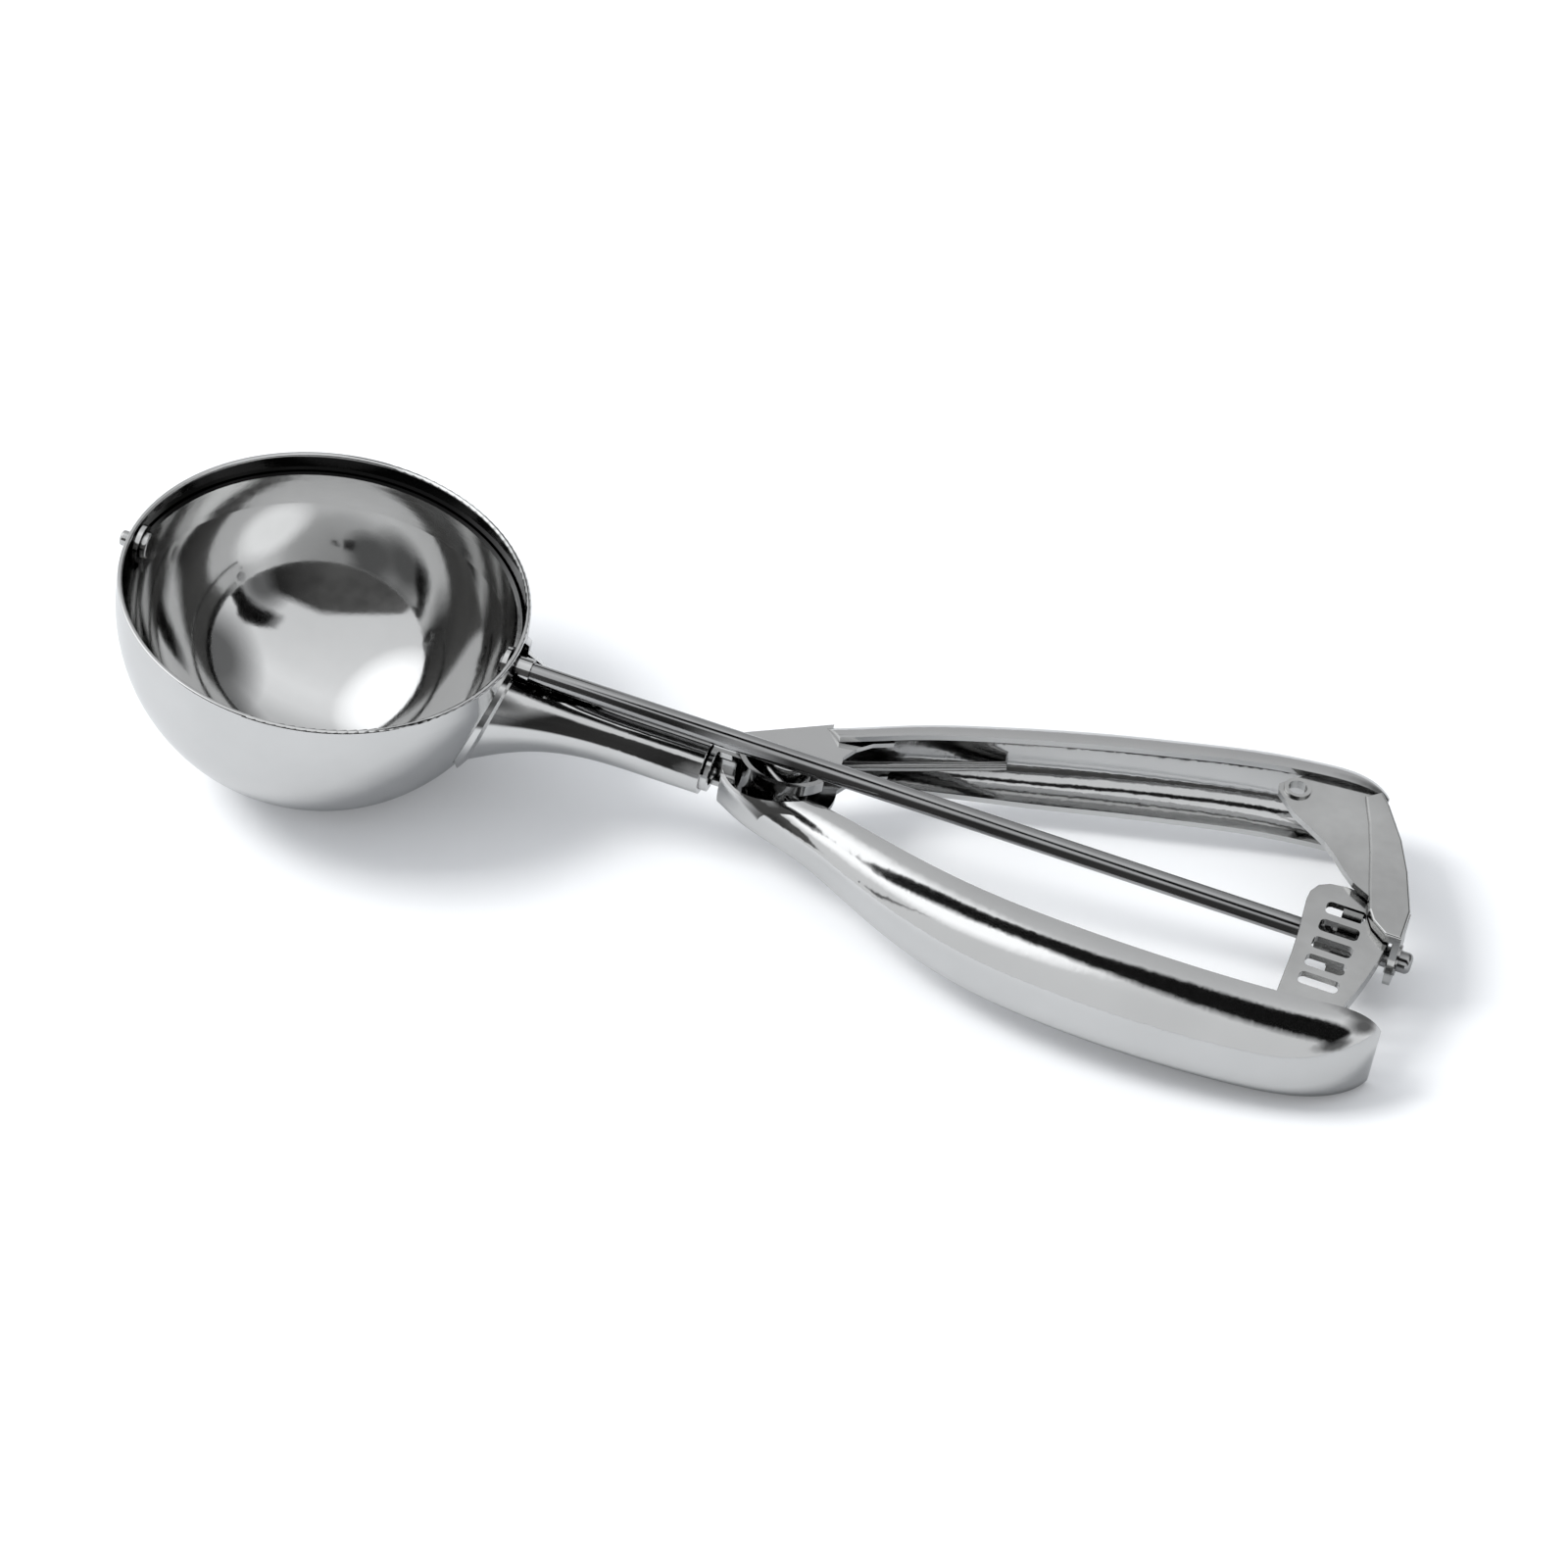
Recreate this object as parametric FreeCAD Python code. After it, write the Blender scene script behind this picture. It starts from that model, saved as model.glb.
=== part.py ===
import FreeCAD, Part
import math
import os

# Squeeze-handle ice cream scoop, millimetres.
# X runs along the drive rod from the bowl to the handle ends, Z is up out of the bowl,
# the origin is the middle of the bowl's rim.
# The fixed handle lies at plus Y, the squeezed handle at minus Y.

os.makedirs("parts", exist_ok=True)
V = FreeCAD.Vector

# Bowl
bowl_radius = 35.0
bowl_wall = 0.9
axis_depth = 3.5
rim_round = 0.35
rim_bead = 0.5

# Scraper and its axle
blade_gap = 0.3
blade_thickness = 0.8
blade_width = 6.0
blade_top_drop = 0.2
blade_hub_radius = 3.3
far_pin_radius = 1.35
far_pin_reach = 1.9
far_pin_head_radius = 2.3
far_pin_head_height = 0.7
rod_radius = 1.8
rod_start = 32.2
rod_end = 192.9
rod_tip_height = 0.9
running_gap = 0.05

# Neck tube
neck_axis_drop = 7.9
neck_radius = 4.8
neck_wall = 0.8
neck_end = 70.0
neck_seam = 0.3
flare_half_width = 11.0
flare_half_height = 10.6
weld_flange = 1.6

# Pivot
pivot_x = 82.6
pivot_y = 6.0
cup_radius = 8.9
roof_edge_y = 5.2
cup_wall = 0.9
back_wall_slope = 33.4
back_wall_offset = 5.25
cup_top = -7.3
ear_top = -15.2
ear_thickness = 1.0
ear_gap = 0.35
rivet_radius = 1.9
rivet_head_radius = 3.4
rivet_head_height = 1.0
sleeve_radius = 2.3
sleeve_height = 5.1

# Handle shells
sheet = 1.1

# Rack and pinion
pinion_x = 179.7
pinion_teeth = 8
pinion_width = 3.4
hub_length = 3.0
hub_radius = 3.3
cross_pin_radius = 0.75
rack_pitch = 4.4
tooth_addendum = 0.9
tooth_dedendum = 1.2
tooth_root_width = 2.3
tooth_tip_width = 1.1
rack_thickness = 1.2
rib_width = 1.5
slot_length = 6.8
slot_count = 5
slot_x = 180.2
first_slot_y = 0.4

# End bracket
bracket_sheet = 1.2
bracket_gap = 0.35
bearing_x = 189.2
bearing_radius = 4.4
tab_hole = (165.2, 23.6, 1.6)

# Spring
wire_radius = 0.85
coil_slack = 0.2
coil_pitch = 2.4
fixed_leg_angle = 23.5
fixed_leg_length = 38.0
free_leg_angle = 40.5
free_leg_length = 35.5

pitch_radius = pinion_teeth * rack_pitch / (2.0 * math.pi)
axis_z = -axis_depth
neck_z = axis_z - neck_axis_drop
rack_mid_z = axis_z + pitch_radius


def save(name, shape):
    shape = shape.removeSplitter() if shape.ShapeType in ("Compound", "Solid") else shape
    shape.exportStep("parts/" + name + ".step")
    print(name, round(shape.Volume, 2), len(shape.Solids), shape.isValid())


def cyl_x(radius, x0, x1, y=0.0, z=axis_z):
    return Part.makeCylinder(radius, x1 - x0, V(x0, y, z), V(1, 0, 0))


def cyl_z(radius, z0, z1, x=pivot_x, y=pivot_y):
    return Part.makeCylinder(radius, z1 - z0, V(x, y, z0), V(0, 0, 1))


def box(x0, x1, y0, y1, z0, z1):
    return Part.makeBox(x1 - x0, y1 - y0, z1 - z0, V(x0, y0, z0))


def prism_z(points, z0, z1):
    wire = Part.makePolygon([V(p[0], p[1], z0) for p in points + [points[0]]])
    return Part.Face(wire).extrude(V(0, 0, z1 - z0))


def spline(points):
    curve = Part.BSplineCurve()
    curve.interpolate(points)
    return curve.toShape()


# Bowl solid of revolution, open side up
def bowl_body(radius, depth_cut):
    ball = Part.makeSphere(radius, V(0, 0, axis_z))
    ball = ball.common(box(-50, 50, -50, 50, -60, axis_z))
    band = Part.makeCylinder(radius, depth_cut - axis_z, V(0, 0, axis_z))
    return ball.fuse(band).removeSplitter()


def build_bowl():
    outer = bowl_body(bowl_radius, 0.0)
    inner = bowl_body(bowl_radius - bowl_wall, 1.0)
    shell = outer.cut(inner)
    edges = [e for e in shell.Edges if abs(e.BoundBox.ZMin) < 0.001 and abs(e.BoundBox.ZMax) < 0.001]
    shell = shell.makeFillet(rim_round, edges)
    shell = shell.cut(cyl_x(rod_radius + running_gap, 30, 40))
    shell = shell.cut(cyl_x(far_pin_radius + running_gap, -40, -30))
    return shell


# Scraper blade, a strip of a ball centred on the rod axis
def build_blade():
    outer_r = bowl_radius - bowl_wall - blade_gap
    ball = Part.makeSphere(outer_r, V(0, 0, axis_z))
    shell = ball.cut(Part.makeSphere(outer_r - blade_thickness, V(0, 0, axis_z)))
    top = axis_z - blade_top_drop
    strip = shell.common(box(-50, 50, 0.0, 50, top - blade_width, top))
    for side in (-1, 1):
        x0 = 20 if side > 0 else -50
        hub = cyl_x(blade_hub_radius, x0, x0 + 30)
        strip = strip.fuse(shell.common(hub))
    strip = strip.cut(cyl_x(rod_radius, 20, 50))
    strip = strip.cut(cyl_x(far_pin_radius, -50, -20))
    return strip.removeSplitter()


def build_far_pin():
    tip = -(bowl_radius + far_pin_reach)
    head = -(bowl_radius - bowl_wall - blade_gap - blade_thickness) + far_pin_head_height
    pin = cyl_x(far_pin_radius, tip, head)
    pin = pin.makeFillet(0.45, [e for e in pin.Edges if abs(e.BoundBox.XMax - tip) < 0.01])
    disc = cyl_x(far_pin_head_radius, head - 0.45, head + 0.6)
    disc = disc.makeFillet(0.4, [e for e in disc.Edges if abs(e.BoundBox.XMin - head - 0.6) < 0.01])
    return pin.fuse(disc).removeSplitter()


def build_rod():
    rod = cyl_x(rod_radius, rod_start, rod_end)
    ends = [e for e in rod.Edges if e.BoundBox.XMin > rod_end - 0.01]
    rod = rod.makeFillet(rod_tip_height, ends)
    return rod


# Neck tube, rolled sheet that opens into a saddle on the bowl
flare_steps = [(neck_end, 0.0), (66.0, 0.0), (60.0, 0.0), (54.0, 0.01), (48.0, 0.09)]
flare_steps = flare_steps + [(43.0, 0.25), (38.0, 0.53), (34.5, 0.8), (30.0, 1.2)]


def ring_wire(x, half_y, half_z):
    pts = []
    for i in range(24):
        t = 2.0 * math.pi * i / 24.0
        pts.append(V(x, half_y * math.sin(t), neck_z + half_z * math.cos(t)))
    curve = Part.BSplineCurve()
    curve.interpolate(pts, PeriodicFlag=True)
    return Part.Wire(curve.toShape())


def flare_solid(inset, end_x):
    wires = []
    for x, k in flare_steps:
        half_y = neck_radius + (flare_half_width - neck_radius) * k - inset
        half_z = neck_radius + (flare_half_height - neck_radius) * k - inset
        wires.append(ring_wire(end_x if x == neck_end else x, half_y, half_z))
    return Part.makeLoft(wires, True, False)


def build_neck():
    neck = flare_solid(0.0, neck_end).cut(flare_solid(neck_wall, neck_end + 1.0))
    ball = Part.makeSphere(bowl_radius + neck_wall, V(0, 0, axis_z))
    ball = ball.cut(Part.makeSphere(bowl_radius - 1.0, V(0, 0, axis_z)))
    band = Part.makeCylinder(bowl_radius + neck_wall, -axis_z - 0.4, V(0, 0, axis_z))
    band = band.cut(Part.makeCylinder(bowl_radius - 1.0, 10, V(0, 0, axis_z)))
    ball = ball.common(box(20, 40, -20, 20, -40, axis_z)).fuse(band.common(box(20, 40, -20, 20, -40, 0)))
    ring = ball.common(flare_solid(-weld_flange, neck_end))
    ring = ring.cut(flare_solid(weld_flange + neck_wall, neck_end + 1.0))
    neck = neck.fuse(ring)
    neck = neck.cut(bowl_body(bowl_radius, 5.0))
    neck = neck.cut(box(30, neck_end + 1, -neck_seam / 2, neck_seam / 2, neck_z, 5))
    notch = [(30.0, -4.3), (38.0, -3.9), (45.0, -1.9), (51.0, -neck_seam / 2)]
    notch = notch + [(p[0], -p[1]) for p in reversed(notch)]
    neck = neck.cut(prism_z(notch, neck_z + 2.5, 5.0))
    neck = neck.cut(cyl_x(rod_radius + 0.9, 30, 60))
    solids = sorted(neck.Solids, key=lambda q: -q.Volume)
    return solids[0]


# Handle shells from half-round sections: x, opening y, middle z, half height, depth
fixed_rows = [
    (79.0, 9.4, -11.7, 4.4, 3.4),
    (86.0, 10.6, -11.5, 4.9, 5.1),
    (94.0, 13.2, -11.3, 5.9, 6.0),
    (102.0, 16.2, -11.1, 6.9, 6.5),
    (111.0, 18.7, -10.3, 7.5, 6.8),
    (122.0, 20.7, -8.7, 8.0, 7.2),
    (134.0, 22.6, -6.7, 8.2, 7.3),
    (146.0, 24.5, -5.0, 8.3, 7.3),
    (158.0, 26.5, -3.7, 8.4, 7.2),
    (168.0, 27.9, -3.2, 8.4, 7.0)]
fixed_end = [(174.0, 28.5, -3.2, 8.3, 6.5), (177.6, 28.5, -3.2, 7.9, 5.0), (180.0, 28.3, -3.2, 7.0, 2.6)]
squeeze_rows = [
    (73.4, -0.6, -12.3, 4.4, 2.8),
    (79.0, -2.2, -12.4, 4.9, 4.6),
    (85.0, -3.6, -12.4, 5.1, 5.6),
    (92.0, -5.0, -12.1, 5.4, 7.4),
    (100.0, -8.4, -11.3, 6.1, 9.0),
    (110.0, -13.2, -10.2, 7.2, 10.2),
    (122.0, -17.9, -8.8, 8.2, 11.0),
    (140.0, -22.2, -6.6, 8.8, 11.4),
    (157.0, -23.8, -5.3, 8.9, 11.4),
    (172.0, -23.4, -5.0, 8.8, 11.0)]
squeeze_end = [(181.0, -22.4, -5.0, 8.7, 10.2), (187.0, -21.4, -5.1, 8.3, 8.2), (190.4, -20.9, -5.3, 7.2, 5.6)]
squeeze_end = squeeze_end + [(192.4, -20.6, -5.5, 5.4, 2.8)]
bulge = 0.86


def half_wire(row, side, inset, extra):
    x, yi, zm, hh, d = row
    hh = hh - inset
    d = d - inset
    pts = []
    for i in range(13):
        t = math.radians(-90 + 15 * i)
        cy = abs(math.cos(t)) ** bulge if i not in (0, 12) else 0.0
        sz = math.copysign(abs(math.sin(t)) ** bulge, math.sin(t))
        pts.append(V(x, yi + side * d * cy, zm + hh * sz))
    arc = spline(pts)
    a = pts[-1]
    b = pts[0]
    if extra > 0.0:
        a2 = V(x, yi - side * extra, a.z)
        b2 = V(x, yi - side * extra, b.z)
        lines = Part.makePolygon([a, a2, b2, b])
        return Part.Wire([arc] + lines.Edges)
    return Part.Wire([arc, Part.makeLine(a, b)])


def handle_shell(rows, end_rows, side, lead):
    outer = Part.makeLoft([half_wire(r, side, 0.0, 0.0) for r in rows + end_rows], True, False)
    inner_rows = [(rows[0][0] + lead,) + rows[0][1:]] + rows[1:]
    inner_rows = inner_rows + [(r[0] - sheet,) + r[1:] for r in end_rows]
    inner = Part.makeLoft([half_wire(r, side, sheet, 3.0) for r in inner_rows], True, False)
    return outer.cut(inner)


# Fixed handle: long shell, rounded cup round the pivot, lower ear, stem in the neck tube
def half_plane(offset, z0, z1):
    t = math.radians(back_wall_slope)
    nx, ny = -math.sin(t), math.cos(t)
    px, py = pivot_x + nx * offset, pivot_y + ny * offset
    ux, uy = math.cos(t), math.sin(t)
    pts = [(px - 90 * ux, py - 90 * uy), (px + 90 * ux, py + 90 * uy)]
    pts = pts + [(p[0] - 60 * nx, p[1] - 60 * ny) for p in reversed(pts)]
    return prism_z(pts, z0, z1)


def cup_slice(a0, a1, z0, z1):
    pts = [(pivot_x, pivot_y)]
    for i in range(9):
        t = math.radians(a0 + (a1 - a0) * i / 8.0)
        pts.append((pivot_x + 20 * math.cos(t), pivot_y + 20 * math.sin(t)))
    return prism_z(pts, z0, z1)


def build_fixed_handle():
    shell = handle_shell(fixed_rows, fixed_end, 1, -1.0)
    ear_low = ear_top - ear_thickness
    roof_low = cup_top - cup_wall
    shell = shell.cut(cyl_z(cup_radius - 0.1, ear_low - 5, cup_top + 5))
    cup = cyl_z(cup_radius, ear_low, cup_top).common(half_plane(back_wall_offset, ear_low, cup_top))
    inside = cyl_z(cup_radius - cup_wall, ear_top, roof_low)
    inside = inside.common(half_plane(back_wall_offset - cup_wall, ear_top, roof_low))
    cup = cup.cut(inside)
    mouth = cyl_z(cup_radius - cup_wall, cup_top - 2, cup_top + 1)
    cup = cup.cut(mouth.common(box(60, 100, -10, roof_edge_y, cup_top - 2, cup_top + 1)))
    cup = cup.cut(cup_slice(-33.0, 58.0, ear_top, roof_low))
    cup = cup.cut(cup_slice(-33.0, -4.0, roof_low - 0.01, cup_top + 1))
    cup = cup.cut(cup_slice(-76.0, -32.0, ear_top, ear_top + 5.8))
    plate = [(84.0, 12.0), (90.0, 15.0), (98.0, 18.4), (98.0, 15.6), (94.8, 13.8)]
    plate = plate + [(92.6, 11.4), (91.2, 8.5), (90.4, roof_edge_y), (84.0, roof_edge_y)]
    roof = prism_z(plate, roof_low, cup_top)
    floor = prism_z(plate, ear_low, ear_top)
    back = half_plane(back_wall_offset, ear_low, cup_top).cut(half_plane(back_wall_offset - cup_wall, -30, 5))
    back = back.common(box(80.0, 87.3, 0, 30, ear_low, cup_top))
    body = shell.fuse(cup).fuse(roof).fuse(floor).fuse(back)
    stem_r = neck_radius - neck_wall - 0.03
    stem = cyl_x(stem_r, 52.0, 76.5, 0, neck_z).cut(cyl_x(stem_r - sheet, 51.0, 77.0, 0, neck_z))
    stem = stem.cut(box(51, neck_end + 0.5, -10, 10, neck_z + 1.4, 0))
    stem = stem.cut(cyl_z(cup_radius - cup_wall / 2, -30, 5))
    stem = stem.cut(box(71.3, 80, -10, 0.4, -30, 5))
    stem = stem.cut(box(70, 80, -10, 10, cup_top, 5)).cut(box(70, 80, -10, 10, -30, ear_low))
    body = body.fuse(stem)
    body = body.cut(cyl_z(rivet_radius + running_gap, -30, ear_top + 1))
    solids = sorted(body.Solids, key=lambda q: -q.Volume)
    return solids[0]


washer_thickness = 0.35
low_ear_top = ear_top - ear_thickness - washer_thickness


def build_squeeze_handle():
    shell = handle_shell(squeeze_rows, squeeze_end, -1, -1.0)
    shell = shell.cut(cyl_z(12.4, low_ear_top + 3.2, 5))
    shell = shell.cut(cyl_z(cup_radius + 0.45, low_ear_top, low_ear_top + 6))
    ear = cyl_z(6.8, low_ear_top - ear_thickness, low_ear_top)
    web = prism_z([(75.0, -1.4), (76.6, 2.0), (80.0, 4.0), (88.0, 4.0), (93.0, -5.6), (86.0, -5.0), (79.0, -3.4)],
                  low_ear_top - ear_thickness, low_ear_top)
    body = shell.fuse(ear).fuse(web)
    body = body.cut(cyl_z(rivet_radius + running_gap, -30, 0))
    solids = sorted(body.Solids, key=lambda q: -q.Volume)
    return solids[0]


def build_pivot_rivet():
    low = low_ear_top - ear_thickness
    top = ear_top + sleeve_height
    shank = cyl_z(rivet_radius, low - rivet_head_height, top + rivet_head_height)
    lower = cyl_z(rivet_head_radius, low - rivet_head_height, low)
    upper = cyl_z(rivet_head_radius, top, top + rivet_head_height)
    lower = lower.makeFillet(0.6, [e for e in lower.Edges if e.BoundBox.ZMax < low - rivet_head_height + 0.01])
    upper = upper.makeFillet(0.6, [e for e in upper.Edges if e.BoundBox.ZMin > top + rivet_head_height - 0.01])
    return shank.fuse(lower).fuse(upper).removeSplitter()


def build_pivot_washer():
    ring = cyl_z(4.6, low_ear_top, low_ear_top + washer_thickness)
    return ring.cut(cyl_z(rivet_radius + running_gap, -30, 0))


def build_pivot_sleeve():
    ring = cyl_z(sleeve_radius, ear_top, ear_top + sleeve_height)
    return ring.cut(cyl_z(rivet_radius, -30, 0))


# Wire spring: a turn and a third round the sleeve and one leg along each handle
def arc_between(start, corner, end):
    middle = (start + end) * 0.5
    half = (end - start).Length / 2.0
    rise = (corner - middle).Length
    if rise < 1e-6:
        return Part.makeLine(start, end)
    sag = half * math.tan(math.atan2(rise, half) / 2.0)
    return Part.Arc(start, middle + (corner - middle) * (sag / rise), end).toShape()


def biarc(p0, t0, p1, t1):
    v = p1 - p0
    a = 2.0 * (t0.dot(t1) - 1.0)
    b = -2.0 * v.dot(t0 + t1)
    c = v.dot(v)
    d = -c / b if abs(a) < 1e-9 else (-b - math.sqrt(b * b - 4.0 * a * c)) / (2.0 * a)
    q0 = p0 + t0 * d
    q1 = p1 - t1 * d
    joint = (q0 + q1) * 0.5
    return [arc_between(p0, q0, joint), arc_between(joint, q1, p1)]


def build_spring():
    coil_r = sleeve_radius + coil_slack + wire_radius
    start = math.radians(90.0 + fixed_leg_angle)
    stop = math.radians(630.0 - free_leg_angle)
    z0 = ear_top + wire_radius + 0.05
    rise = coil_pitch * (stop - start) / (2.0 * math.pi)

    def point(a):
        z = z0 + rise * (a - start) / (stop - start)
        return V(pivot_x + coil_r * math.cos(a), pivot_y + coil_r * math.sin(a), z)

    def tangent(a):
        t = V(-coil_r * math.sin(a), coil_r * math.cos(a), rise / (stop - start))
        return t.normalize()

    leg_a = math.radians(fixed_leg_angle)
    leg_b = -math.radians(free_leg_angle)
    end_a = point(start) + V(fixed_leg_length * math.cos(leg_a), fixed_leg_length * math.sin(leg_a), 2.0)
    end_b = point(stop) + V(free_leg_length * math.cos(leg_b), free_leg_length * math.sin(leg_b), 0.6)
    stations = [start + (stop - start) * i / 6.0 for i in range(7)]
    tangents = [tangent(a) for a in stations]
    tangents[0] = (point(start) - end_a).normalize()
    tangents[-1] = (end_b - point(stop)).normalize()
    edges = [Part.makeLine(end_a, point(start))]
    for i in range(6):
        edges = edges + biarc(point(stations[i]), tangents[i], point(stations[i + 1]), tangents[i + 1])
    edges.append(Part.makeLine(point(stop), end_b))
    path = Part.Wire(edges)
    circle = Part.Wire(Part.makeCircle(wire_radius, end_a, tangents[0]))
    steps = path.discretize(Distance=0.4)
    apart = int(math.pi * coil_r / 0.4)
    gap = min((p - q).Length for i, p in enumerate(steps) for q in steps[i + apart:])
    print("spring least gap to itself", round(gap - 2.0 * wire_radius, 2))
    return path.makePipeShell([circle], True, False)


# Pinion with straight-flanked teeth, hub and cross pin
def tooth_angle():
    return math.degrees(first_slot_y / pitch_radius)


def build_pinion():
    root = pitch_radius - tooth_dedendum
    tip = pitch_radius + tooth_addendum
    gear = cyl_x(root, pinion_x, pinion_x + pinion_width)
    low = root - 0.6
    for i in range(pinion_teeth):
        pts = [(-tooth_root_width / 2, low), (-tooth_tip_width / 2, tip)]
        pts = pts + [(-p[0], p[1]) for p in reversed(pts)]
        wire = Part.makePolygon([V(pinion_x, p[0], axis_z + p[1]) for p in pts + [pts[0]]])
        tooth = Part.Face(wire).extrude(V(pinion_width, 0, 0))
        tooth.rotate(V(0, 0, axis_z), V(1, 0, 0), i * 360.0 / pinion_teeth - tooth_angle())
        gear = gear.fuse(tooth)
    gear = gear.fuse(cyl_x(hub_radius, pinion_x - hub_length, pinion_x))
    gear = gear.cut(cyl_x(rod_radius, 100, 200))
    gear = gear.cut(cross_pin(0.0))
    return gear.removeSplitter()


def cross_pin(extra):
    x = pinion_x - hub_length / 2
    reach = hub_radius + 0.45
    pin = Part.makeCylinder(cross_pin_radius, 2 * reach, V(x, 0, axis_z - reach), V(0, 0, 1))
    pin.rotate(V(0, 0, axis_z), V(1, 0, 0), 22.5)
    return pin


def build_cross_pin():
    pin = cross_pin(0.0)
    return pin.makeFillet(0.25, [e for e in pin.Edges if e.Curve.TypeId == "Part::GeomCircle"])


# Rack plate, tucked under the squeezed handle's upper edge
rack_low = rack_mid_z - rack_thickness / 2
rack_top = rack_mid_z + rack_thickness / 2
rack_left = [(174.4, -24.8), (174.3, -12.4), (174.0, -6.5), (173.3, 0.8), (173.4, 3.0), (174.3, 4.9)]
rack_right = 188.0
flange_width = 1.2


def rounded_slot(x, y, length, width, corner):
    blank = box(x - length / 2, x + length / 2, y - width / 2, y + width / 2, rack_low - 1, rack_top + 1)
    edges = [e for e in blank.Edges if abs(e.BoundBox.ZMax - e.BoundBox.ZMin) > 1]
    return blank.makeFillet(corner, edges)


def build_rack(shell):
    sweep = bearing_x - bracket_gap - pivot_x
    outline = rack_left + [(176.0, 6.0), (178.8, 6.5), (183.0, 6.3), (188.3, 5.0), (191.0, 3.0), (191.0, -24.8)]
    plate = prism_z(outline, rack_low, rack_top).common(cyl_z(sweep, rack_low, rack_top))
    top_edges = [e for e in plate.Edges if e.BoundBox.ZMin > rack_top - 0.01 and e.BoundBox.YMin > -24.9]
    top_edges = [e for e in top_edges if e.BoundBox.XMax < 180.0 or e.BoundBox.YMin > 4.0]
    plate = plate.makeFillet(0.3, top_edges)
    strip = rack_left[1:5] + [(p[0] + flange_width, p[1]) for p in reversed(rack_left[1:5])]
    plate = plate.fuse(prism_z(strip, rack_low - 1.4, rack_low + 0.5))
    edge = cyl_z(sweep, rack_low - 1.6, rack_low + 0.5).cut(cyl_z(sweep - flange_width, rack_low - 2, rack_top))
    plate = plate.fuse(edge.common(box(180.0, 192.0, -19.0, -2.5, rack_low - 2, rack_top)))
    for i in range(slot_count):
        y = first_slot_y - i * rack_pitch
        plate = plate.cut(rounded_slot(slot_x, y, slot_length, rack_pitch - rib_width, 0.9))
    plate = plate.cut(shell)
    solids = sorted(plate.Solids, key=lambda q: -q.Volume)
    return solids[0]


# End bracket: tab under the fixed handle's upper edge, arm, lip and bearing for the rod
bracket_low = rack_top + bracket_gap
bracket_top = bracket_low + bracket_sheet
arm_rise = 0.55
arm_left = [(176.2, 26.8), (178.3, 21.1), (180.3, 14.3), (182.0, 7.4), (183.7, 1.0), (185.0, -1.4), (187.6, -3.6)]
arm_right = [(190.4, -3.6), (190.2, 3.4), (187.4, 12.4), (184.6, 19.2), (180.6, 26.4), (178.6, 29.0)]


def build_bracket(shell):
    tab = [(163.2, 25.0), (162.0, 23.6), (162.4, 21.9), (166.2, 17.8), (170.2, 15.2), (172.8, 13.4)]
    tab = tab + [(175.0, 11.2), (177.2, 8.6), (179.6, 6.2), (183.0, 4.2)] + [(186.0, 10.0)]
    tab = tab + [(184.0, 18.0), (180.2, 26.2), (178.2, 30.5), (174.4, 31.5), (166.4, 28.4)]
    plate = prism_z(tab, bracket_low, bracket_top)
    arm = prism_z(arm_left + arm_right, bracket_low, bracket_top + arm_rise)
    edges = [e for e in arm.Edges if e.BoundBox.ZMin > bracket_top + arm_rise - 0.01]
    arm = arm.makeFillet(0.4, edges)
    bearing = cyl_x(bearing_radius, bearing_x, bearing_x + bracket_sheet)
    bearing = bearing.fuse(box(bearing_x, bearing_x + bracket_sheet, -3.4, 3.2, axis_z, bracket_top))
    body = plate.fuse(arm).fuse(bearing)
    body = body.cut(Part.makeCylinder(tab_hole[2], 20, V(tab_hole[0], tab_hole[1], -10)))
    ring = Part.makeCylinder(tab_hole[2] + 0.7, 0.45, V(tab_hole[0], tab_hole[1], bracket_top))
    ring = ring.cut(Part.makeCylinder(tab_hole[2], 2, V(tab_hole[0], tab_hole[1], bracket_top - 0.5)))
    body = body.fuse(ring)
    body = body.cut(cyl_x(rod_radius + running_gap + 0.8, 180, 200))
    body = body.cut(shell)
    solids = sorted(body.Solids, key=lambda q: -q.Volume)
    return solids[0]


def build_end_bush():
    bush = cyl_x(rod_radius + running_gap + 0.8, bearing_x - 0.3, bearing_x + bracket_sheet + 0.3)
    return bush.cut(cyl_x(rod_radius + running_gap, 180, 200))


def build_rod_collar():
    x0 = bowl_radius + 0.25
    ring = cyl_x(rod_radius + 0.5, x0, x0 + 2.4)
    return ring.cut(cyl_x(rod_radius, 30, 50))


fixed_handle = build_fixed_handle()
squeeze_handle = build_squeeze_handle()
save("bowl", build_bowl())
save("scraper_blade", build_blade())
save("scraper_far_pin", build_far_pin())
save("drive_rod", build_rod().cut(cross_pin(0.0)))
save("rod_collar", build_rod_collar())
save("neck_tube", build_neck())
save("fixed_handle", fixed_handle)
save("squeeze_handle", squeeze_handle)
save("pivot_rivet", build_pivot_rivet())
save("pivot_washer", build_pivot_washer())
save("pivot_sleeve", build_pivot_sleeve())
save("handle_spring", build_spring())
save("pinion", build_pinion())
save("pinion_pin", build_cross_pin())
save("rack_plate", build_rack(squeeze_handle))
save("end_bracket", build_bracket(fixed_handle))
save("rod_end_bush", build_end_bush())
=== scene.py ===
import math

import bpy
from mathutils import Matrix, Vector


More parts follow.
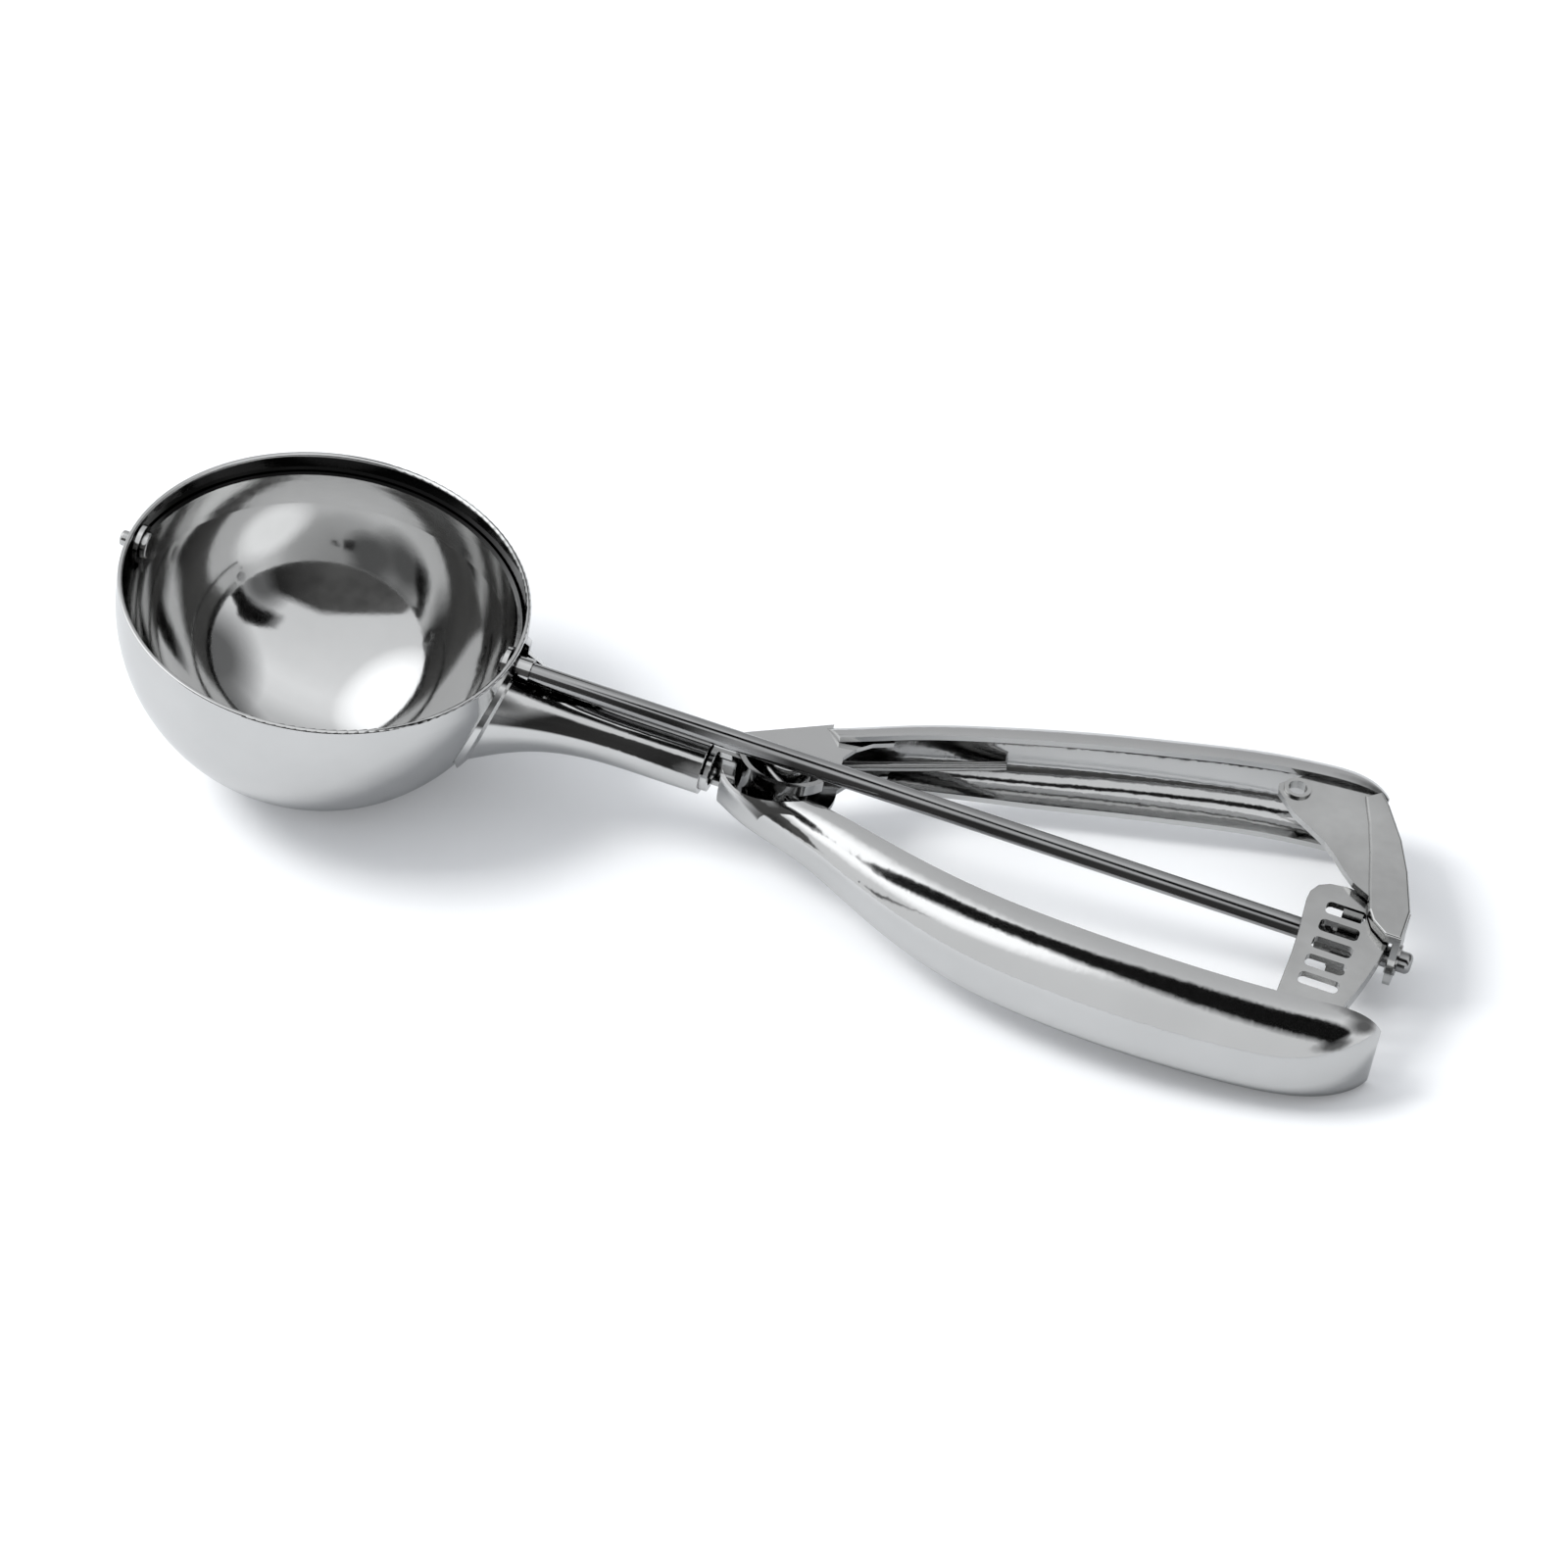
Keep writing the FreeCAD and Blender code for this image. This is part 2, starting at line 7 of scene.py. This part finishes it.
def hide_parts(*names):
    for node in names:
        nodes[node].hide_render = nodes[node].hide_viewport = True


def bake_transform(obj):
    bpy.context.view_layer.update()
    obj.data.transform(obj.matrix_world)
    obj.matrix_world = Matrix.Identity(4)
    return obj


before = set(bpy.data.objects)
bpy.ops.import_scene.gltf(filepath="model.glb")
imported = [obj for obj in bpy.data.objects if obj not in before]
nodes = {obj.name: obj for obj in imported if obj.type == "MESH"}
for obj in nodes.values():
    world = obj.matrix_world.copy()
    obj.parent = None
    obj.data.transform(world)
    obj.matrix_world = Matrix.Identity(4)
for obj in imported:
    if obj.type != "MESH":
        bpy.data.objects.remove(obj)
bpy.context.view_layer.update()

# Squeeze-handle ice cream scoop in polished steel, on a pale floor. Lengths are in metres.

scene = bpy.context.scene

black = (0.0, 0.0, 0.0)
white = (1.0, 1.0, 1.0)


def even(value):
    return (value, value, value)


# Small helpers for node trees
def new_tree(owner):
    owner.use_nodes = True
    owner.node_tree.nodes.clear()
    return owner.node_tree


def new_material(name):
    material = bpy.data.materials.new(name)
    return material, new_tree(material)


# A node with its settings, and with a link or a plain value for each input named
def add(tree, kind, inputs=(), **settings):
    node = tree.nodes.new("ShaderNode" + kind)
    for key, value in settings.items():
        setattr(node, key, value)
    for key, value in dict(inputs).items():
        if isinstance(value, bpy.types.NodeSocket):
            tree.links.new(value, node.inputs[key])
        else:
            node.inputs[key].default_value = value
    return node


def ramp(tree, source, *stops):
    node = add(tree, "ValToRGB", {0: source})
    elements = node.color_ramp.elements
    while len(elements) < len(stops):
        elements.new(0.5)
    for element, (place, colour) in zip(elements, stops):
        element.position = place
        element.color = (*colour, 1.0)
    return node.outputs[0]


def noise(tree, place, scale, detail=3.0, rough=0.5, stretch=(1, 1, 1)):
    stretched = add(tree, "Mapping", {"Scale": stretch, "Vector": place}).outputs[0]
    inputs = {"Scale": scale, "Detail": detail, "Roughness": rough, "Vector": stretched}
    return add(tree, "TexNoise", inputs).outputs["Fac"]


# Places on a noise's scale where its low and its high tone are reached
noise_low, noise_high = 0.3, 0.7


def cloudy(tree, cloud, low, high):
    return ramp(tree, cloud, (noise_low, low), (noise_high, high))


# Low where the source is at start or before it, high at end or beyond
def span(tree, source, start, end, low=0.0, high=1.0):
    inputs = {"Value": source, "From Min": start, "From Max": end, "To Min": low, "To Max": high}
    return add(tree, "MapRange", inputs).outputs[0]


def product(tree, first, second):
    return add(tree, "Math", {0: first, 1: second}, operation="MULTIPLY").outputs[0]


def tinted(tree, colour, tint):
    return add(tree, "MixRGB", {0: 1.0, 1: colour, 2: tint}, blend_type="MULTIPLY").outputs[0]


def blended(tree, share, colour, plain_colour):
    return add(tree, "MixRGB", {0: share, 1: colour, 2: (*plain_colour, 1.0)}).outputs[0]


def mixed_shaders(tree, share, first, second):
    return add(tree, "MixShader", {"Fac": share, 1: first, 2: second}).outputs[0]


def show(tree, surface, output="OutputMaterial"):
    add(tree, output, {"Surface": surface})


# Steel's surface: the scale of its clouds and slow waves, and the heights of waves and grain
cloud_scale = 38.0
wave_scale = 26.0
wave_height = 0.002
grain_height = 0.0002
# Places on the grain's scale where the steel is smoothest and roughest
grain_smooth, grain_rough = 0.25, 0.75
# Painted shade in crevices: open share of the surroundings at which a crevice is painted darkest, and at
# which it is not darker at all
painted_shade_darkest, painted_shade_clear = 0.22, 0.70

# Painted shade: a dark crescent painted inside the back of the bowl's rim, above the blade; each pair is
# where it starts and is full
painted_crescent_tone = 0.015
painted_crescent_bottom = (-0.0046, -0.0034)
painted_crescent_top = (-0.0002, -0.0006)
painted_crescent_back = (0.001, 0.010)
painted_crescent_radius = (0.0347, 0.0345)


# Paints the dark crescent of shade over the tone
def with_painted_crescent(tree, place, tone):
    axes = add(tree, "SeparateXYZ", {0: place}).outputs
    flat = add(tree, "VectorMath", {0: place, 1: (1.0, 1.0, 0.0)}, operation="MULTIPLY").outputs[0]
    radius = add(tree, "VectorMath", {0: flat}, operation="LENGTH").outputs["Value"]
    share = span(tree, axes["Z"], *painted_crescent_bottom)
    for source, ends in ((axes["Z"], painted_crescent_top), (axes["Y"], painted_crescent_back), (radius, painted_crescent_radius)):
        share = product(tree, share, span(tree, source, *ends))
    return blended(tree, share, tone, even(painted_crescent_tone))


# Steel between two tones and two roughnesses, with a grain and slow waves; painted shade darkens its
# crevices, and where asked the painted shade crescent is added
def metal(name, low, high, rough, grain=(1, 1, 1), grain_scale=700.0, grain_bump=0.02, wave_bump=0.03,
          painted_crevice_shade=0.25, reach=0.006, painted_crescent=False):
    material, tree = new_material(name)
    place = add(tree, "TexCoord").outputs["Object"]
    clouds = cloudy(tree, noise(tree, place, cloud_scale, detail=4.0, rough=0.6), low, high)
    # Painted shade: the tone is darkened where little of the surroundings is open, in crevices and between
    # parts
    openness = add(tree, "AmbientOcclusion", {"Distance": reach}, samples=4).outputs["AO"]
    shade = ramp(tree, openness, (painted_shade_darkest, even(painted_crevice_shade)), (painted_shade_clear, white))
    tone = tinted(tree, clouds, shade)
    if painted_crescent:
        tone = with_painted_crescent(tree, place, tone)
    fine = noise(tree, place, grain_scale, rough=0.6, stretch=grain)
    slow = noise(tree, place, wave_scale, detail=2.0)
    waves = add(tree, "Bump", {"Strength": wave_bump, "Distance": wave_height, "Height": slow})
    surface = add(tree, "Bump", {"Strength": grain_bump, "Distance": grain_height, "Height": fine,
                                 "Normal": waves.outputs[0]})
    steel = add(tree, "BsdfPrincipled", {"Metallic": 1.0, "Base Color": tone,
                                         "Roughness": span(tree, fine, grain_smooth, grain_rough, *rough),
                                         "Normal": surface.outputs[0]})
    show(tree, steel.outputs[0])
    return material


chrome = metal("chrome_handles", (0.60, 0.60, 0.595), (0.65, 0.65, 0.645), (0.075, 0.115),
               grain_bump=0.006, wave_bump=0.010, painted_crevice_shade=0.20)
plate_steel = metal("pressed_plate_steel", (0.50, 0.50, 0.49), (0.76, 0.76, 0.75), (0.12, 0.20),
                    wave_bump=0.10)
# The bowl's steel carries the painted shade crescent
bowl_steel = metal("polished_bowl_steel", (0.63, 0.63, 0.625), (0.69, 0.69, 0.685), (0.05, 0.09),
                   painted_crescent=True)
blade_steel = metal("blade_steel", (0.60, 0.60, 0.595), (0.68, 0.68, 0.675), (0.07, 0.14),
                    grain=(0.2, 1.0, 1.0), grain_scale=900.0, grain_bump=0.04)
neck_steel = metal("neck_steel", (0.62, 0.62, 0.615), (0.68, 0.68, 0.675), (0.05, 0.10),
                   grain=(0.1, 1.0, 1.0), grain_scale=900.0, grain_bump=0.015, wave_bump=0.02,
                   painted_crevice_shade=0.5, reach=0.003)
rod_steel = metal("drawn_rod_steel", (0.34, 0.34, 0.34), (0.42, 0.42, 0.42), (0.10, 0.18),
                  grain=(0.03, 1.0, 1.0), grain_scale=1500.0, grain_bump=0.05)
spring_steel = metal("spring_wire_steel", (0.42, 0.42, 0.415), (0.52, 0.52, 0.515), (0.12, 0.24),
                     grain_scale=1500.0, grain_bump=0.05)
pinion_steel = metal("machined_pinion_steel", (0.45, 0.45, 0.44), (0.56, 0.56, 0.55), (0.16, 0.30),
                     grain_scale=1500.0, grain_bump=0.08)
rivet_steel = metal("rivet_steel", (0.52, 0.52, 0.515), (0.62, 0.62, 0.615), (0.07, 0.14))

finish = {
    "bowl": bowl_steel, "scraper_blade": blade_steel, "scraper_far_pin": rivet_steel,
    "drive_rod": rod_steel, "rod_collar": rivet_steel, "neck_tube": neck_steel,
    "fixed_handle": chrome, "squeeze_handle": chrome, "pivot_rivet": rivet_steel,
    "pivot_washer": rivet_steel, "pivot_sleeve": pinion_steel, "handle_spring": spring_steel,
    "pinion": pinion_steel, "pinion_pin": rivet_steel, "rack_plate": plate_steel,
    "end_bracket": plate_steel, "rod_end_bush": rivet_steel,
}
for name, piece in nodes.items():
    for slot in piece.material_slots:
        slot.link = "OBJECT"
        slot.material = finish[name]


# The spring's wire again, as a piece of its own in spring steel, in place of the hidden coil
coil = nodes["handle_spring"]
wire = bpy.data.objects.new("spring_wire", coil.data.copy())
scene.collection.objects.link(wire)
wire.matrix_world = coil.matrix_world.copy()
wire.data.materials.clear()
wire.data.materials.append(spring_steel)
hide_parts("handle_spring")
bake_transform(wire)


# Floor, tilted as the scoop lies: the bowl touches it, the squeezed handle's end sinks 0.6 mm into it at
# rest, and the fixed handle stays 2.9 mm above it
tilt = math.radians(7.94)
bowl_radius = 0.035
bowl_centre_z = -0.0035
floor_size = 12.0
floor_cloud_scale = 3.0
floor_low, floor_high = (0.905, 0.925, 0.955), (0.92, 0.94, 0.97)
# Share of plain white that the camera sees in it, and share that reflections lose to black
floor_whitening = 0.12
floor_dimming = 0.27


def floor_material():
    material, tree = new_material("pale_floor")
    clouds = noise(tree, add(tree, "TexCoord").outputs["Object"], floor_cloud_scale)
    matt = add(tree, "BsdfDiffuse", {"Color": cloudy(tree, clouds, floor_low, floor_high)})
    glow = add(tree, "Emission", {"Color": (*white, 1.0), "Strength": 1.0})
    dark = add(tree, "Emission", {"Color": (*black, 1.0)})
    rays = add(tree, "LightPath").outputs
    whitened = mixed_shaders(tree, product(tree, rays["Is Camera Ray"], floor_whitening),
                             matt.outputs[0], glow.outputs[0])
    show(tree, mixed_shaders(tree, product(tree, rays["Is Glossy Ray"], floor_dimming),
                             whitened, dark.outputs[0]))
    return material


up = Vector((-math.sin(tilt), 0.0, math.cos(tilt)))
side = Vector((math.cos(tilt), 0.0, math.sin(tilt)))
drop = bowl_centre_z * math.cos(tilt) - bowl_radius
bpy.ops.mesh.primitive_plane_add(size=floor_size)
floor = bpy.context.object
floor.name = "floor"
turn = Matrix((side, Vector((0, 1, 0)), up)).transposed().to_4x4()
floor.matrix_world = Matrix.Translation(up * drop) @ turn
floor.data.materials.append(floor_material())


# Studio: a pale room, brightest on the left. The camera itself sees it white.
studio = bpy.data.worlds.new("studio")
scene.world = studio
room = new_tree(studio)
towards = add(room, "TexCoord").outputs["Generated"]
towards = add(room, "VectorMath", {0: towards}, operation="NORMALIZE").outputs[0]


# Place of a cosine on a scale from 0 to 1
def level(cosine):
    return 0.5 + 0.5 * cosine


# How far a ray points along a direction, on the same scale
def along(direction):
    inputs = {0: towards, 1: Vector(direction).normalized()}
    cosine = add(room, "VectorMath", inputs, operation="DOT_PRODUCT").outputs["Value"]
    return add(room, "Math", {0: cosine, 1: 0.5, 2: 0.5}, operation="MULTIPLY_ADD").outputs[0]


def cool_grey(value):
    return (value * 0.985, value, value * 1.02)


# Full within the inner angle of a direction and gone at the outer one, in degrees
def zone(direction, inner, outer):
    full, gone = (level(math.cos(math.radians(angle))) for angle in (inner, outer))
    return ramp(room, along(direction), (gone, black), (full, white))


# Brightness from the front of the room to the back, then a bright zone on the left and dim ones on the right
front_to_back = ((-1.0, 0.82), (-0.50, 0.84), (-0.10, 0.92), (0.10, 1.02),
                 (0.30, 0.95), (0.50, 0.70), (0.75, 0.60), (1.0, 0.50))
zones = (((-0.68, 0.05, 0.73), 16, 30, 1.60), ((0.74, 0.36, 0.57), 10, 30, 0.16),
         ((0.38, 0.80, 0.46), 14, 28, 0.16), ((0.76, -0.50, 0.42), 8, 20, 0.15))
sky = ramp(room, along((0.0, 1.0, 0.0)),
           *[(level(cosine), cool_grey(value)) for cosine, value in front_to_back])
for direction, inner, outer, value in zones:
    sky = blended(room, zone(direction, inner, outer), sky, cool_grey(value))
seen = blended(room, add(room, "LightPath").outputs["Is Camera Ray"], sky, white)
show(room, add(room, "Background", {"Color": seen, "Strength": 1.0}).outputs[0], "OutputWorld")


# One soft lamp, high on the left, that reflections do not show
lamp_place = Vector((-0.85, -0.28, 0.98))
lamp_target = Vector((0.05, 0.0, 0.0))
lamp_size = 0.5
lamp_watts = 12.5
lamp_colour = (1.0, 0.985, 0.955)
light = bpy.data.lights.new("key_softbox", "AREA")
light.shape = "RECTANGLE"
light.size, light.size_y = lamp_size, lamp_size
light.energy = lamp_watts
light.color = lamp_colour
lamp = bpy.data.objects.new("key_softbox", light)
scene.collection.objects.link(lamp)
aim = (lamp_target - lamp_place).to_track_quat("-Z", "Y").to_matrix().to_4x4()
lamp.matrix_world = Matrix.Translation(lamp_place) @ aim
lamp.visible_glossy = False


# Cards that show only in reflections, each from its front face alone. A card's rows are pairs of points
# from one end to the other, its tones are its brightness at the two ends, and it is full between these
# shares of its length and the given shares of its width, and fades out beyond them.
card_ends = (0.10, 0.86)
card_cloud_scale = 40.0
card_clouds = (0.75, 1.25)


def card_mesh(name, rows):
    count = len(rows) - 1
    faces = [(2 * i, 2 * i + 1, 2 * i + 3, 2 * i + 2) for i in range(count)]
    mesh = bpy.data.meshes.new(name)
    mesh.from_pydata([point for row in rows for point in row], [], faces)
    places = mesh.uv_layers.new(name="across").data
    for i in range(count):
        start, end = i / count, (i + 1) / count
        for k, corner in enumerate([(start, 0.0), (start, 1.0), (end, 1.0), (end, 0.0)]):
            places[4 * i + k].uv = corner
    return mesh


def fade(tree, source, first, last):
    return ramp(tree, source, (0.0, black), (first, white), (last, white), (1.0, black))


def card_material(name, tones, full):
    material, tree = new_material(name)
    coordinates = add(tree, "TexCoord").outputs
    axes = add(tree, "SeparateXYZ", {0: coordinates["UV"]}).outputs
    body = ramp(tree, axes["X"], (0.0, even(tones[0])), (1.0, even(tones[1])))
    clouds = noise(tree, coordinates["Object"], card_cloud_scale)
    clouds = cloudy(tree, clouds, even(card_clouds[0]), even(card_clouds[1]))
    face = add(tree, "Emission", {"Color": tinted(tree, body, clouds)})
    back = add(tree, "NewGeometry").outputs["Backfacing"]
    front = add(tree, "Math", {0: 1.0, 1: back}, operation="SUBTRACT").outputs[0]
    across = product(tree, front, fade(tree, axes["Y"], *full))
    share = product(tree, across, fade(tree, axes["X"], *card_ends))
    clear = add(tree, "BsdfTransparent")
    show(tree, mixed_shaders(tree, share, clear.outputs[0], face.outputs[0]))
    return material


def card(name, rows, tones, full):
    o = bpy.data.objects.new(name, card_mesh(name, rows))
    scene.collection.objects.link(o)
    o.data.materials.append(card_material(name, tones, full))
    for ray in ("camera", "diffuse", "shadow", "transmission", "volume_scatter"):
        setattr(o, "visible_" + ray, False)


# Level card over the squeezed handle, which shows it as a dark stripe: x, then y of the card's two edges
strip_z = 0.045
strip = [
    (0.035, -0.0231, -0.0091), (0.04, -0.0251, -0.0071), (0.055, -0.0251, -0.0001),
    (0.07, -0.0241, 0.0049), (0.085, -0.0251, 0.0049), (0.1, -0.0265, -0.0017),
    (0.115, -0.0302, -0.0042), (0.13, -0.0349, -0.0067), (0.145, -0.0395, -0.0061),
    (0.16, -0.0452, -0.0056), (0.175, -0.0508, -0.007), (0.19, -0.0565, -0.0095),
    (0.205, -0.0635, -0.0135), (0.22, -0.0715, -0.0185), (0.235, -0.0795, -0.0265),
    (0.25, -0.0885, -0.0385), (0.27, -0.1015, -0.0555),
]
card("strip_flag", [[(x, y_front, strip_z), (x, y_back, strip_z)] for x, y_front, y_back in strip],
     (0.004, 0.006), (0.28, 0.86))

# Upright card in front of the bowl and the neck
card("front_flag",
     [[(-0.150, -0.128, 0.004), (-0.143, -0.143, 0.088)],
      [(0.024, -0.062, -0.012), (0.024, -0.070, 0.086)],
      [(0.073, -0.036, -0.027), (0.073, -0.036, 0.042)]],
     (0.16, 0.0), (0.08, 0.86))

# Upright card along the rod, between the handles
rod_y = -0.008
rod_bottom, rod_top = -0.012, 0.003
card("rod_panel", [[(x, rod_y, rod_bottom), (x, rod_y, rod_top)] for x in (0.072, 0.188)],
     (0.06, 0.06), (0.05, 0.80))

# Two level cards behind the bowl and above it
patch_z = 0.085
card("left_patch",
     [[(-0.040, 0.115, patch_z), (-0.034, 0.150, patch_z)],
      [(-0.022, 0.105, patch_z), (-0.018, 0.165, patch_z)]],
     (0.05, 0.03), (0.15, 0.85))
card("right_patch",
     [[(-0.008, 0.100, patch_z), (-0.012, 0.185, patch_z)],
      [(0.022, 0.092, patch_z), (0.026, 0.175, patch_z)]],
     (0.02, 0.04), (0.15, 0.85))


# Camera at the photograph's place
image_width = 1600.0
focal_pixels = 6657.065
sensor_width = 36.0
far_clip = 50.0
camera_place = Vector((0.2387, -0.7806, 0.7421))
camera = bpy.data.cameras.new("camera")
camera.sensor_width = sensor_width
camera.lens = focal_pixels * sensor_width / image_width
camera.clip_end = far_clip
eye = bpy.data.objects.new("camera", camera)
scene.collection.objects.link(eye)
right = Vector((0.9394, 0.3156, 0.1341)).normalized()
ahead = Vector((-0.1416, 0.7131, -0.6866)).normalized()
top = right.cross(ahead).normalized()
right = ahead.cross(top).normalized()
look = Matrix((right, top, -ahead)).transposed().to_4x4()
eye.matrix_world = Matrix.Translation(camera_place) @ look
scene.camera = eye

scene.view_settings.view_transform = "Standard"
